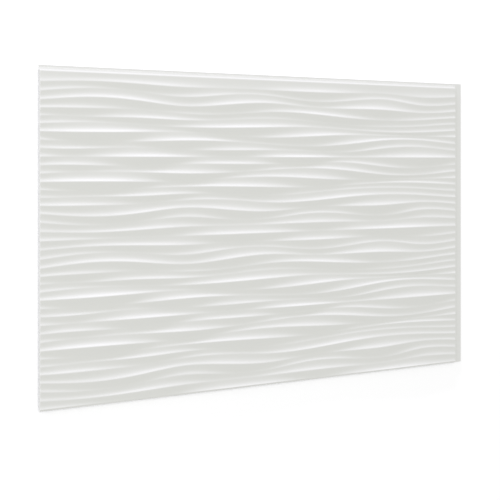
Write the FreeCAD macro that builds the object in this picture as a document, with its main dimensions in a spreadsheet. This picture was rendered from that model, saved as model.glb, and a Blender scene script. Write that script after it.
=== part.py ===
"""Wall tile moulded in one piece: a wave-relief face with half-lap edges, lying on its back, face up.

Units are millimetres. The length of the tile runs along X, its height on the wall along Y, and the face
looks along +Z. The origin is under the middle of the whole outline, on the plane of the back.
"""
import os

import FreeCAD
import Part

# Driving sizes. The face is what shows on the wall. The lips stand out past its right and top edges.
SIZES = {
    "face_length": 650.0,
    "face_height": 375.0,
    "base_thickness": 3.4,
    "least_crest": 0.3,
    "crest_height": 1.1,
    "top_margin": 2.4,
    "rim_rise": 0.5,
    "rim_fall": 0.8,
    "top_room": 2.0,
    "bottom_margin": 1.2,
    "right_lip": 12.5,
    "top_lip": 3.4,
    "lip_thickness": 2.0,
    "lip_chamfer": 0.2,
    "lap_clearance": 0.2,
}

# The relief has forty crests. They repeat after every twentieth one, and the second half of a repeat is
# the mirror image of the first.
CREST_COUNT = 40
REPEAT_COUNT = 20
HALF_COUNT = REPEAT_COUNT // 2
# The tables of the relief are in percent of a whole.
WHOLE = 100.0
# How far each crest between two mirror lines drifts from its even place, towards the bottom edge, in
# percent of the pitch, at equal stations along the face. The crests on the mirror lines are straight. The
# last station joins the first, so that tiles meet in a continuous wave.
DRIFT_PERCENTS = [
    [10, -16, -5, 15, 11, 13, 17, 11, 3, 35],
    [18, -30, -5, 40, -9, -13, 45, 18, -18, 50],
    [23, -24, 3, 58, 18, -16, 22, 28, 31, 58],
    [20, 12, 16, 52, 48, 2, 11, 57, 80, 61],
    [12, 18, 16, 33, 18, -9, 19, 61, 72, 50],
    [5, -16, 4, 24, 19, 3, -7, 18, 44, 38],
    [0, 1, -9, -11, 25, 42, 16, -10, -5, -5],
    [-1, 14, 11, -9, -3, 33, 56, 16, -47, -50],
    [-3, -2, -13, 9, 13, 8, 20, 28, -32, -49],
]
STATION_COUNT = len(DRIFT_PERCENTS[0])
# Where each crest swells and fades, from one mirror line to the next: places in percent of the face's
# length, and how far the crest swells there above its least height, in percent of the crest height.
SWELL_PERCENTS = [
    [(0, 75), (15, 10), (25, 10), (41, 120), (48, 110), (62, 25), (86, 160)],
    [(6, 45), (25, 100), (40, 5), (45, 5), (61, 115), (77, 5), (82, 10), (94, 65)],
    [(0, 55), (18, 5), (33, 70), (44, 10), (66, 55), (78, 40), (88, 65)],
    [(18, 110), (30, 65), (40, 120), (61, 10), (77, 155), (91, 50)],
    [(7, 90), (23, 5), (35, 35), (42, 30), (67, 120), (82, 50), (95, 55)],
    [(5, 10), (23, 90), (38, 5), (53, 20), (65, 10), (86, 25), (99, 45)],
    [(12, 5), (23, 10), (45, 145), (63, 10), (69, 10), (97, 60)],
    [(12, 165), (28, 5), (37, 5), (61, 135), (75, 5), (89, 0)],
    [(8, 10), (15, 10), (30, 130), (45, 10), (55, 30), (71, 110), (89, 35), (98, 60)],
    [(6, 75), (19, 5), (27, 5), (41, 90), (54, 5), (62, 0), (78, 85), (95, 35)],
    [(7, 15), (22, 150), (36, 5), (44, 10), (57, 130), (69, 20), (89, 170)],
]
# A crest line is drawn through this many even steps. The flank that rises to it is short and concave.
LINE_STEPS = 30
FLANK_DEGREE = 4

doc = FreeCAD.newDocument("wave_wall_tile")
sheet = doc.addObject("Spreadsheet::Sheet", "sizes")
for row, (alias, size) in enumerate(SIZES.items(), start=1):
    sheet.set(f"A{row}", alias)
    sheet.set(f"B{row}", str(size))
    sheet.setAlias(f"B{row}", alias)
doc.recompute()

# The waves start a little below the rim. From there down, the even places of the crests are a pitch apart.
waves_start = sheet.top_margin + sheet.top_room
pitch = (sheet.face_height - waves_start - sheet.bottom_margin) / CREST_COUNT


def smooth_line(point_at, count):
    """A cubic line along the face through even steps, with the same slope at both ends of the face."""
    step_length = sheet.face_length / count
    line = Part.BSplineCurve()
    end_slope = (point_at(1) - point_at(-1)) / (2 * step_length)
    line.interpolate(
        Points=[point_at(step) for step in range(count + 1)],
        Parameters=[step * step_length for step in range(count + 1)],
        InitialTangent=end_slope,
        FinalTangent=end_slope,
        Scale=False,
    )
    return line


def drift(crest, station):
    """How far a crest lies below its even place at a station, as a share of the pitch."""
    line = crest % REPEAT_COUNT
    if line % HALF_COUNT == 0:
        return 0.0
    if line > HALF_COUNT:
        return -drift(REPEAT_COUNT - line, station)
    percent = DRIFT_PERCENTS[line - 1][station % STATION_COUNT]
    return percent / WHOLE


def swell(crest, place):
    """How far a crest swells at a place in percent of the length, as a share of the crest height."""
    line = crest % REPEAT_COUNT
    table = SWELL_PERCENTS[min(line, REPEAT_COUNT - line)]
    points = sorted((at % WHOLE, percent) for at, percent in table)
    before = (points[-1][0] - WHOLE, points[-1][1])
    after = (points[0][0] + WHOLE, points[0][1])
    chain = [before, *points, after]
    for (start, low), (end, high) in zip(chain, chain[1:]):
        if place <= end:
            way = (place - start) / (end - start)
            percent = low + (high - low) * way**2 * (3 - 2 * way)
            return percent / WHOLE


def edge_line(place, height):
    """A straight line along the face, for its edges and its rim."""
    return smooth_line(
        lambda step: FreeCAD.Vector(step * sheet.face_length / LINE_STEPS, place, height), LINE_STEPS
    )


def crest_line(crest):
    """One crest of the relief, from the left edge of the face to the right."""
    station_step = sheet.face_length / STATION_COUNT
    drift_line = smooth_line(
        lambda station: FreeCAD.Vector(station * station_step, drift(crest, station), 0.0), STATION_COUNT
    )

    def point_at(step):
        """A point of the crest. Steps before the first and after the last follow the repeat."""
        within = step % LINE_STEPS
        drifted = drift_line.value(within * sheet.face_length / LINE_STEPS).y
        below_top = waves_start + pitch * (crest + drifted)
        swelling = sheet.crest_height * swell(crest, WHOLE * within / LINE_STEPS)
        return FreeCAD.Vector(
            step * sheet.face_length / LINE_STEPS,
            sheet.face_height - below_top,
            sheet.base_thickness + sheet.least_crest + swelling,
        )

    return smooth_line(point_at, LINE_STEPS)


def band(lower, upper):
    """The surface from one line of the face up to the next one.

    Across the band the face rises evenly from the valley to the upper line. The flank of the lower line
    comes in only close to that line, as a power of the way across.
    """
    poles = []
    for low, high in zip(lower.getPoles(), upper.getPoles()):
        low_rise = low.z - sheet.base_thickness
        high_rise = high.z - sheet.base_thickness
        across = []
        for step in range(FLANK_DEGREE + 1):
            share = step / FLANK_DEGREE
            flank = low_rise if step == 0 else 0.0
            rise = high_rise * share + flank
            place = low.y + (high.y - low.y) * share
            across.append(FreeCAD.Vector(low.x, place, sheet.base_thickness + rise))
        poles.append(across)
    surface = Part.BSplineSurface()
    surface.buildFromPolesMultsKnots(
        poles,
        lower.getMultiplicities(),
        [FLANK_DEGREE + 1, FLANK_DEGREE + 1],
        lower.getKnots(),
        [0.0, 1.0],
        False,
        False,
        lower.Degree,
        FLANK_DEGREE,
    )
    return surface


def closed_face(edges):
    """A flat face inside a loop of edges."""
    return Part.Face(Part.Wire(Part.__sortEdges__(edges)))


def side_wall(rim):
    """The flat wall from the back of the tile up to a run of rim edges, lowest place first."""
    ends = [rim[0].valueAt(rim[0].FirstParameter), rim[-1].valueAt(rim[-1].LastParameter)]
    feet = [FreeCAD.Vector(end.x, end.y, 0.0) for end in ends]
    posts = [Part.makeLine(feet[0], ends[0]), Part.makeLine(ends[1], feet[1])]
    return closed_face(rim + posts + [Part.makeLine(feet[1], feet[0])])


# The moulded block under the face: the wave bands, four flat side walls and the flat back. Along the top
# the face ends in a plain rim that slopes down, and along the bottom it ends at the base thickness.
lines = [edge_line(0.0, sheet.base_thickness)]
lines += [crest_line(crest) for crest in range(CREST_COUNT, 0, -1)]
rim_height = sheet.base_thickness + sheet.rim_rise
lines += [edge_line(sheet.face_height - sheet.top_margin, rim_height)]
lines += [edge_line(sheet.face_height, rim_height - sheet.rim_fall)]
bands = [band(lower, upper) for lower, upper in zip(lines, lines[1:])]
left_rim = [surface.uIso(0.0).toShape() for surface in bands]
right_rim = [surface.uIso(sheet.face_length).toShape() for surface in bands]
faces = [surface.toShape() for surface in bands]
faces.append(side_wall(left_rim))
faces.append(side_wall(right_rim))
faces.append(side_wall([lines[0].toShape()]))
faces.append(side_wall([lines[-1].toShape()]))
faces.append(Part.makePlane(sheet.face_length, sheet.face_height))
skin = Part.Shell(faces)
skin.sewShape()
block_solid = Part.Solid(skin)
if block_solid.Volume < 0:
    block_solid.reverse()

middle_x = "(sizes.face_length + sizes.right_lip) / 2"
middle_y = "(sizes.face_height + sizes.top_lip) / 2"
wave_block = doc.addObject("Part::Feature", "wave_block")
wave_block.Shape = block_solid
wave_block.Placement.Base = FreeCAD.Vector(
    -(sheet.face_length + sheet.right_lip) / 2,
    -(sheet.face_height + sheet.top_lip) / 2,
    0.0,
)

# The thin layer at the back that runs out past the right and top edges as the lips.
lip_layer = doc.addObject("Part::Box", "lip_layer")
lip_layer.setExpression("Length", "sizes.face_length + sizes.right_lip")
lip_layer.setExpression("Width", "sizes.face_height + sizes.top_lip")
lip_layer.setExpression("Height", "sizes.lip_thickness")
lip_layer.setExpression("Placement.Base.x", f"-{middle_x}")
lip_layer.setExpression("Placement.Base.y", f"-{middle_y}")
doc.recompute()


def on_lip_rim(edge):
    """Whether an edge of the lip layer is the upper outer edge of a lip."""
    box = edge.BoundBox
    outer = lip_layer.Shape.BoundBox
    along_right = box.XMin > outer.XMax - sheet.lip_thickness
    along_top = box.YMin > outer.YMax - sheet.lip_thickness
    return box.ZMin > outer.Center.z and (along_right or along_top)


eased_lips = doc.addObject("Part::Chamfer", "eased_lips")
eased_lips.Base = lip_layer
eased_lips.Edges = [
    (number, sheet.lip_chamfer, sheet.lip_chamfer)
    for number, edge in enumerate(lip_layer.Shape.Edges, start=1)
    if on_lip_rim(edge)
]

tile_with_lips = doc.addObject("Part::Fuse", "tile_with_lips")
tile_with_lips.Base = wave_block
tile_with_lips.Tool = eased_lips
tile_with_lips.Refine = True

# The rebates under the left and bottom edges, which cover the lips of the next tiles. The left one ends
# below the slope along the top, so that the corner there stays thick.
left_rebate = doc.addObject("Part::Box", "left_rebate")
left_rebate.setExpression("Length", "sizes.right_lip + sizes.lap_clearance")
left_rebate.setExpression("Width", "sizes.face_height - sizes.top_margin")
left_rebate.setExpression("Height", "sizes.lip_thickness + sizes.lap_clearance")
bottom_rebate = doc.addObject("Part::Box", "bottom_rebate")
bottom_rebate.setExpression("Length", "sizes.face_length")
bottom_rebate.setExpression("Width", "sizes.top_lip + sizes.lap_clearance")
bottom_rebate.setExpression("Height", "sizes.lip_thickness + sizes.lap_clearance")
for rebate in (left_rebate, bottom_rebate):
    rebate.setExpression("Placement.Base.x", f"-{middle_x}")
    rebate.setExpression("Placement.Base.y", f"-{middle_y}")

rebates = doc.addObject("Part::Fuse", "rebates")
rebates.Base = left_rebate
rebates.Tool = bottom_rebate

wall_tile = doc.addObject("Part::Cut", "wall_tile")
wall_tile.Label = "wall_tile"
wall_tile.Base = tile_with_lips
wall_tile.Tool = rebates
wall_tile.Refine = True
doc.recompute()

for item in doc.Objects:
    if "Invalid" in item.State or "Error" in item.State:
        raise RuntimeError(f"{item.Label} failed to build")
if wall_tile.Shape.isNull() or not wall_tile.Shape.isValid():
    raise RuntimeError("the tile is not a valid shape")
if len(wall_tile.Shape.Solids) != 1:
    raise RuntimeError("the tile is not one solid")

os.makedirs("parts", exist_ok=True)
wall_tile.Shape.exportStep(os.path.join("parts", f"{wall_tile.Label}.step"))
outline = wall_tile.Shape.optimalBoundingBox()
print(f"{wall_tile.Label}: {outline.XLength:.2f} x {outline.YLength:.2f} x {outline.ZLength:.2f} mm")
print(f"volume {wall_tile.Shape.Volume / 1000:.1f} cm3, {len(wall_tile.Shape.Faces)} faces")
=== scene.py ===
import math

import bmesh
import bpy
import numpy as np
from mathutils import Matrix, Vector


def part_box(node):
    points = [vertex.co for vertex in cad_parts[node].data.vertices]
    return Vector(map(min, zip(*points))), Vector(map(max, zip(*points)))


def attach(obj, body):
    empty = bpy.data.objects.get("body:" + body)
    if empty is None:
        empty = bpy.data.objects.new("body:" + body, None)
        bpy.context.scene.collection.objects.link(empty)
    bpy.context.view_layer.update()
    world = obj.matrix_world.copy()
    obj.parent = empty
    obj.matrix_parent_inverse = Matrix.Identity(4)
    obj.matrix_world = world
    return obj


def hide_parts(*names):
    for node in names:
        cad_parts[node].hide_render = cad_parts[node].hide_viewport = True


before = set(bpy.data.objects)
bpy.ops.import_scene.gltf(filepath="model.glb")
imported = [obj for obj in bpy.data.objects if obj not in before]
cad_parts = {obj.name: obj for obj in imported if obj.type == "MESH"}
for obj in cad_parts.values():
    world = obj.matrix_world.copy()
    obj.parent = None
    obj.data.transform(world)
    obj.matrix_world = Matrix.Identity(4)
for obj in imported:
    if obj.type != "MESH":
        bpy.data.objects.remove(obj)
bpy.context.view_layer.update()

# The tile: one sheet of white rigid PVC, moulded with a relief of long waves and glued to a wall. Each crest
# swells and fades along the face. Below it the sheet falls away gently, and a short hollow flank rises to the
# next crest. Thin lips stand out past the right and top edges, where the next tiles lap over them.
mm = 0.001
tile_low, tile_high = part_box("wall_tile")
right_lip = 12.5 * mm
top_lip = 3.4 * mm
lip_thickness = 2.0 * mm
lip_chamfer = 0.2 * mm
lap_clearance = 0.2 * mm
base_thickness = 3.4 * mm
least_crest = 0.3 * mm
crest_height = 1.1 * mm
top_margin = 2.4 * mm
rim_rise = 0.5 * mm
rim_fall = 0.8 * mm
top_room = 2.0 * mm
bottom_margin = 1.2 * mm
outer_length = tile_high.x - tile_low.x
outer_height = tile_high.y - tile_low.y
face_length = outer_length - right_lip
face_height = outer_height - top_lip

crest_count = 40
repeat_count = 20
half_count = repeat_count // 2
waves_start = top_margin + top_room
crest_pitch = (face_height - waves_start - bottom_margin) / crest_count
flank_degree = 4
# The tables of the relief are in percent of a whole. The first is how far each crest of half a repeat drifts
# towards the bottom edge, in percent of the pitch, at equal stations along the face. The other half of the
# repeat is the mirror image.
whole = 100
crest_drift = [
    [10, -16, -5, 15, 11, 13, 17, 11, 3, 35],
    [18, -30, -5, 40, -9, -13, 45, 18, -18, 50],
    [23, -24, 3, 58, 18, -16, 22, 28, 31, 58],
    [20, 12, 16, 52, 48, 2, 11, 57, 80, 61],
    [12, 18, 16, 33, 18, -9, 19, 61, 72, 50],
    [5, -16, 4, 24, 19, 3, -7, 18, 44, 38],
    [0, 1, -9, -11, 25, 42, 16, -10, -5, -5],
    [-1, 14, 11, -9, -3, 33, 56, 16, -47, -50],
    [-3, -2, -13, 9, 13, 8, 20, 28, -32, -49],
]
# Where each crest swells and fades: places in percent of the face's length, and how far the crest swells
# there above its least height, in percent of the crest height.
crest_swells = [
    [(0, 75), (15, 10), (25, 10), (41, 120), (48, 110), (62, 25), (86, 160)],
    [(6, 45), (25, 100), (40, 5), (45, 5), (61, 115), (77, 5), (82, 10), (94, 65)],
    [(0, 55), (18, 5), (33, 70), (44, 10), (66, 55), (78, 40), (88, 65)],
    [(18, 110), (30, 65), (40, 120), (61, 10), (77, 155), (91, 50)],
    [(7, 90), (23, 5), (35, 35), (42, 30), (67, 120), (82, 50), (95, 55)],
    [(5, 10), (23, 90), (38, 5), (53, 20), (65, 10), (86, 25), (99, 45)],
    [(12, 5), (23, 10), (45, 145), (63, 10), (69, 10), (97, 60)],
    [(12, 165), (28, 5), (37, 5), (61, 135), (75, 5), (89, 0)],
    [(8, 10), (15, 10), (30, 130), (45, 10), (55, 30), (71, 110), (89, 35), (98, 60)],
    [(6, 75), (19, 5), (27, 5), (41, 90), (54, 5), (62, 0), (78, 85), (95, 35)],
    [(7, 15), (22, 150), (36, 5), (44, 10), (57, 130), (69, 20), (89, 170)],
]


def drift(crest, places):
    """How far a crest lies below its even place along the face, in pitches.

    It follows a smooth cubic line through the stations, whose right end carries on into its left one.
    """
    line = crest % repeat_count
    if line % half_count == 0:
        return np.zeros(len(places))
    if line > half_count:
        return -drift(repeat_count - line, places)
    percent = np.array(crest_drift[line - 1])
    count = len(percent)
    matrix = np.zeros((count, count))
    for station in range(count):
        matrix[station, [station - 1, station, (station + 1) % count]] = (1, 4, 1)
    slopes = np.linalg.solve(matrix, 3 * (np.roll(percent, -1) - np.roll(percent, 1)))
    stretch = places / face_length * count
    first = stretch.astype(int) % count
    after = (first + 1) % count
    way = stretch % 1
    start = (1 + 2 * way) * (1 - way) ** 2 * percent[first] + way * (1 - way) ** 2 * slopes[first]
    end = way**2 * (3 - 2 * way) * percent[after] - way**2 * (1 - way) * slopes[after]
    return (start + end) / whole


def swell(crest, places):
    """How far a crest swells along the face, as a share of the crest height."""
    line = crest % repeat_count
    points = crest_swells[min(line, repeat_count - line)]
    percent = places / face_length * whole
    before = (points[-1][0] - whole, points[-1][1])
    after = (points[0][0] + whole, points[0][1])
    chain = [before, *points, after]
    heights = np.zeros(len(places))
    for (start, low), (end, high) in zip(chain, chain[1:]):
        way = np.clip((percent - start) / (end - start), 0, 1)
        heights = np.where(percent >= start, low + (high - low) * way**2 * (3 - 2 * way), heights)
    return heights / whole


# The columns of the mesh along the face, with a rounded rim at both ends, and then the right lip. The left
# and bottom rims are crisp. The right one is eased, to let the next tile in. The walls above the lips have a
# hair of draft, as a mould needs.
crisp_radius = 0.12 * mm
eased_radius = 0.5 * mm
rim_steps = np.array([0, 0.1, 0.4, 1, 1.6])
column_spacing = 5 * mm
inner_columns = np.arange(column_spacing, face_length - column_spacing / 2, column_spacing)
right_columns = face_length - eased_radius * rim_steps[::-1]
face_columns = np.concatenate([crisp_radius * rim_steps, inner_columns, right_columns])
wall_draft = 0.02 * mm
lip_columns = np.array([face_length + wall_draft, outer_length - lip_chamfer, outer_length])
lip_heights = np.array([lip_thickness, lip_thickness, lip_thickness - lip_chamfer])

# The lines that the bands of the relief run between, from the bottom edge up to the top lip.
level = np.zeros(len(face_columns))
line_place = [level]
line_rise = [level]
for crest in range(crest_count, 0, -1):
    below_top = waves_start + crest_pitch * (crest + drift(crest, face_columns))
    line_place.append(face_height - below_top)
    line_rise.append(least_crest + crest_height * swell(crest, face_columns))
line_place += [level + face_height - top_margin, level + face_height]
line_rise += [level + rim_rise, level + rim_rise - rim_fall]

# The rows of the mesh across each band, as shares of its width, closest together at the flank and the crests.
band_rows = [0, 0.03, 0.065, 0.11, 0.17, 0.24, 0.33, 0.46, 0.64, 0.84, 0.935, 0.97]
bottom_rows = [*(crisp_radius * rim_steps / bottom_margin), 0.55, 0.75, 0.9]
top_rows = [0, 0.06, 0.12, 0.2, 0.3, 0.42, 0.56, 0.7, 0.85, 1]
top_band = len(line_place) - 2
rows = []
for band in range(top_band + 1):
    shares = band_rows
    if band == 0:
        shares = bottom_rows
    if band == top_band:
        shares = top_rows
    rows += [(band, share) for share in shares]

# The crests are rounded over this distance on each side.
crest_radius = 1.0 * mm


def turn_over(line):
    """How sharply the sheet turns at a crest, as the sum of the slopes on its two sides."""
    above = (flank_degree * line_rise[line] - line_rise[line + 1]) / (line_place[line + 1] - line_place[line])
    below = line_rise[line] / (line_place[line] - line_place[line - 1])
    return above + below


def crest_drop(distance, sharpness):
    """How much a rounded crest lies below the sharp one, at a distance from it."""
    reach = np.clip(crest_radius - distance, 0, None)
    return sharpness * reach**2 / (4 * crest_radius)


def rim_drop(distance, radius):
    """How much a rounded rim lies below the flat one, at a distance from the edge."""
    inside = np.clip(radius - distance, 0, radius)
    return radius - np.sqrt(radius**2 - inside**2)


# Across a band the face rises evenly to the upper line, and close to the lower line its flank comes on top.
row_places = []
row_heights = []
for band, share in rows:
    low, high = line_place[band], line_place[band + 1]
    place = low + (high - low) * share
    rise = line_rise[band + 1] * share + line_rise[band] * (1 - share) ** flank_degree
    if band > 0:
        rise = rise - crest_drop(place - low, turn_over(band))
    if band < top_band:
        rise = rise - crest_drop(high - place, turn_over(band + 1))
    drop = rim_drop(face_columns, crisp_radius) + rim_drop(place, crisp_radius)
    drop = drop + rim_drop(face_length - face_columns, eased_radius)
    height = np.maximum(base_thickness + rise - drop, lip_thickness)
    row_places.append(np.concatenate([place, place[-1] + 0 * lip_columns]))
    row_heights.append(np.concatenate([height, lip_heights]))
columns = np.concatenate([face_columns, lip_columns])
lip_rows = [
    (face_height + wall_draft, lip_thickness),
    (outer_height - lip_chamfer, lip_thickness),
    (outer_height, lip_thickness - lip_chamfer),
]
for place, height in lip_rows:
    row_places.append(np.full(len(columns), place))
    row_heights.append(np.concatenate([level + height, np.minimum(height, lip_heights)]))

# The sheet: a grid moved to these places, drawn down to the back along its border, and closed there.
half_grid = 0.5
last_column = len(columns) - 1
last_row = len(row_places) - 1
bm = bmesh.new()
bmesh.ops.create_grid(bm, x_segments=last_column, y_segments=last_row, size=half_grid)
for vert in bm.verts:
    column = round((vert.co.x + half_grid) * last_column)
    row = round((vert.co.y + half_grid) * last_row)
    vert.co = tile_low + Vector((columns[column], row_places[row][column], row_heights[row][column]))
walls = bmesh.ops.extrude_edge_only(bm, edges=[edge for edge in bm.edges if edge.is_boundary])
for item in walls["geom"]:
    if isinstance(item, bmesh.types.BMVert):
        item.co.z = tile_low.z
bmesh.ops.contextual_create(bm, geom=[edge for edge in bm.edges if edge.is_boundary])
bmesh.ops.recalc_face_normals(bm, faces=bm.faces)
tile_mesh = bpy.data.meshes.new("moulded_tile")
bm.to_mesh(tile_mesh)
bm.free()
tile = bpy.data.objects.new("moulded_tile", tile_mesh)
bpy.context.scene.collection.objects.link(tile)

# The back is cut away along the left and bottom edges, to lap over the lips of the tiles beside and below.
past = 1 * mm
left_rebate = right_lip + lap_clearance
bottom_rebate = top_lip + lap_clearance
rebate_depth = lip_thickness + lap_clearance
rebate_end = face_height - top_margin
rebate_right = face_length + 2 * wall_draft
rebate_outline = [
    (-past, -past),
    (rebate_right, -past),
    (rebate_right, bottom_rebate),
    (left_rebate, bottom_rebate),
    (left_rebate, rebate_end),
    (-past, rebate_end),
]
bm = bmesh.new()
outline_verts = [bm.verts.new(tile_low + Vector((x, y, -past))) for x, y in rebate_outline]
cut_face = bm.faces.new(outline_verts)
upper = bmesh.ops.extrude_face_region(bm, geom=[cut_face])
upper_verts = [item for item in upper["geom"] if isinstance(item, bmesh.types.BMVert)]
bmesh.ops.translate(bm, verts=upper_verts, vec=(0, 0, past + rebate_depth))
bmesh.ops.recalc_face_normals(bm, faces=bm.faces)
cut_mesh = bpy.data.meshes.new("rebates")
bm.to_mesh(cut_mesh)
bm.free()
cut = bpy.data.objects.new("rebates", cut_mesh)
bpy.context.scene.collection.objects.link(cut)
rebates = tile.modifiers.new("rebates", "BOOLEAN")
rebates.operation = "DIFFERENCE"
rebates.solver = "EXACT"
rebates.object = cut
tile.data = bpy.data.meshes.new_from_object(tile.evaluated_get(bpy.context.evaluated_depsgraph_get()))
tile.modifiers.clear()
bpy.data.objects.remove(cut)
sharp_angle = math.radians(40)
tile.data.shade_smooth()
tile.data.set_sharp_from_angle(angle=sharp_angle)

# White PVC with the satin skin of the mould: a faint cloudiness in the colour and a very fine grain.
pvc_colour = (0.763, 0.768, 0.733, 1)
pvc_cloud = (0.744, 0.749, 0.715, 1)
cloud_scale = 14
cloud_detail = 4
grain_scale = 1800
grain_detail = 3
grain_depth = 0.2 * mm
grain_strength = 0.06
least_roughness = 0.40
most_roughness = 0.52

pvc = bpy.data.materials.new("satin_white_pvc")
pvc.use_nodes = True
nodes = pvc.node_tree.nodes
links = pvc.node_tree.links
shader = nodes["Principled BSDF"]
where = nodes.new("ShaderNodeTexCoord")

cloud = nodes.new("ShaderNodeTexNoise")
cloud.inputs["Scale"].default_value = cloud_scale
cloud.inputs["Detail"].default_value = cloud_detail
cloud_colour = nodes.new("ShaderNodeMix")
cloud_colour.data_type = "RGBA"
cloud_colour.inputs["A"].default_value = pvc_cloud
cloud_colour.inputs["B"].default_value = pvc_colour
links.new(where.outputs["Object"], cloud.inputs["Vector"])
links.new(cloud.outputs["Fac"], cloud_colour.inputs["Factor"])
links.new(cloud_colour.outputs["Result"], shader.inputs["Base Color"])

grain = nodes.new("ShaderNodeTexNoise")
grain.inputs["Scale"].default_value = grain_scale
grain.inputs["Detail"].default_value = grain_detail
gloss = nodes.new("ShaderNodeMapRange")
gloss.inputs["To Min"].default_value = least_roughness
gloss.inputs["To Max"].default_value = most_roughness
bump = nodes.new("ShaderNodeBump")
bump.inputs["Strength"].default_value = grain_strength
bump.inputs["Distance"].default_value = grain_depth
links.new(where.outputs["Object"], grain.inputs["Vector"])
links.new(grain.outputs["Fac"], gloss.inputs["Value"])
links.new(gloss.outputs["Result"], shader.inputs["Roughness"])
links.new(grain.outputs["Fac"], bump.inputs["Height"])
links.new(bump.outputs["Normal"], shader.inputs["Normal"])

tile.data.materials.clear()
tile.data.materials.append(pvc)
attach(tile, "root")
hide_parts("wall_tile")

# The floor: a plain matt white sheet under the tile, wide enough to fill every view. To the camera it shows a
# pale colour, on which the tile's soft shadow falls, and a faint glow that lifts the rest of it to white.
floor_size = 8.0
floor_colour = (0.8, 0.8, 0.8, 1)
shown_colour = (0.95, 0.95, 0.95, 1)
floor_glow = 0.16


def seen_white(nodes, links):
    """The rays that show a surface as white: those from the camera, from gloss and through glass."""
    rays = nodes.new("ShaderNodeLightPath")
    camera_or_gloss = nodes.new("ShaderNodeMath")
    camera_or_gloss.operation = "MAXIMUM"
    any_of_them = nodes.new("ShaderNodeMath")
    any_of_them.operation = "MAXIMUM"
    links.new(rays.outputs["Is Camera Ray"], camera_or_gloss.inputs[0])
    links.new(rays.outputs["Is Glossy Ray"], camera_or_gloss.inputs[1])
    links.new(camera_or_gloss.outputs["Value"], any_of_them.inputs[0])
    links.new(rays.outputs["Is Transmission Ray"], any_of_them.inputs[1])
    return any_of_them.outputs["Value"]


bm = bmesh.new()
bmesh.ops.create_grid(bm, x_segments=1, y_segments=1, size=floor_size / 2)
floor_mesh = bpy.data.meshes.new("floor")
bm.to_mesh(floor_mesh)
bm.free()
floor = bpy.data.objects.new("floor", floor_mesh)
bpy.context.scene.collection.objects.link(floor)

paper = bpy.data.materials.new("matt_white_floor")
paper.use_nodes = True
nodes = paper.node_tree.nodes
links = paper.node_tree.links
nodes.remove(nodes["Principled BSDF"])
matt = nodes.new("ShaderNodeBsdfDiffuse")
matt.inputs["Color"].default_value = floor_colour
shown = nodes.new("ShaderNodeBsdfDiffuse")
shown.inputs["Color"].default_value = shown_colour
glow = nodes.new("ShaderNodeEmission")
glow.inputs["Strength"].default_value = floor_glow
seen = nodes.new("ShaderNodeAddShader")
pick = nodes.new("ShaderNodeMixShader")
links.new(shown.outputs["BSDF"], seen.inputs[0])
links.new(glow.outputs["Emission"], seen.inputs[1])
links.new(seen_white(nodes, links), pick.inputs["Fac"])
links.new(matt.outputs["BSDF"], pick.inputs[1])
links.new(seen.outputs["Shader"], pick.inputs[2])
links.new(pick.outputs["Shader"], nodes["Material Output"].inputs["Surface"])
floor.data.materials.append(paper)

# The studio: an even white room and three soft boxes. One stands high beyond the upper left corner of the
# tile. One lies low beyond its top edge, to bring out the flanks of the waves, and one low at its left.
# The low ones are kept out of the gloss, so that the face has no glare when it is seen against them.
room_colour = (1, 1, 1, 1)
room_level = 0.74
white_level = 1.0

world = bpy.data.worlds.new("studio")
bpy.context.scene.world = world
world.use_nodes = True
nodes = world.node_tree.nodes
links = world.node_tree.links
room = nodes["Background"]
room.inputs["Color"].default_value = room_colour
room.inputs["Strength"].default_value = room_level
seen = nodes.new("ShaderNodeBackground")
seen.inputs["Color"].default_value = room_colour
seen.inputs["Strength"].default_value = white_level
pick = nodes.new("ShaderNodeMixShader")
links.new(seen_white(nodes, links), pick.inputs["Fac"])
links.new(room.outputs["Background"], pick.inputs[1])
links.new(seen.outputs["Background"], pick.inputs[2])
links.new(pick.outputs["Shader"], nodes["World Output"].inputs["Surface"])


def soft_box(name, bearing, elevation, distance, width, height, watts, colour, in_gloss):
    """A rectangular lamp aimed at the tile. Its bearing runs from the top edge towards the left one."""
    light = bpy.data.lights.new(name, "AREA")
    light.shape = "RECTANGLE"
    light.size = width
    light.size_y = height
    light.energy = watts
    light.color = colour
    lamp = bpy.data.objects.new(name, light)
    aside = math.radians(bearing)
    up = math.radians(elevation)
    towards = Vector((-math.sin(aside) * math.cos(up), math.cos(aside) * math.cos(up), math.sin(up)))
    lamp.location = towards * distance
    lamp.rotation_euler = towards.to_track_quat("Z", "Y").to_euler()
    lamp.visible_glossy = in_gloss
    bpy.context.scene.collection.objects.link(lamp)


white_light = (1, 1, 1)
cool_light = (0.84, 0.81, 1)
soft_box("high_box", bearing=45, elevation=60, distance=3.0, width=2.0, height=1.4,
         watts=17, colour=white_light, in_gloss=True)
soft_box("low_box", bearing=15, elevation=5, distance=4.0, width=2.4, height=0.3,
         watts=163, colour=cool_light, in_gloss=False)
soft_box("side_box", bearing=90, elevation=3, distance=4.0, width=2.0, height=0.3,
         watts=18, colour=white_light, in_gloss=False)

# The camera: the view of the photograph, level with the tile's long edges and turned along its length. Its
# lens is shifted up and down only, which keeps the tile's short edges upright in the picture.
picture_width = 500
focal_pixels = 1503.7
axis_row = 162.0
turn = math.radians(38.61)
camera_place = Vector((-843.5, 272.0, 1426.6)) * mm

lens = bpy.data.cameras.new("camera")
lens.sensor_width = 36
lens.lens = focal_pixels * lens.sensor_width / picture_width
lens.shift_y = (axis_row - picture_width / 2) / picture_width
lens.clip_start = 0.05
lens.clip_end = 50
camera = bpy.data.objects.new("camera", lens)
camera.location = tile_low + camera_place
camera.rotation_euler = (0, -turn, 0)
bpy.context.scene.collection.objects.link(camera)
bpy.context.scene.camera = camera
bpy.context.scene.view_settings.view_transform = "Standard"
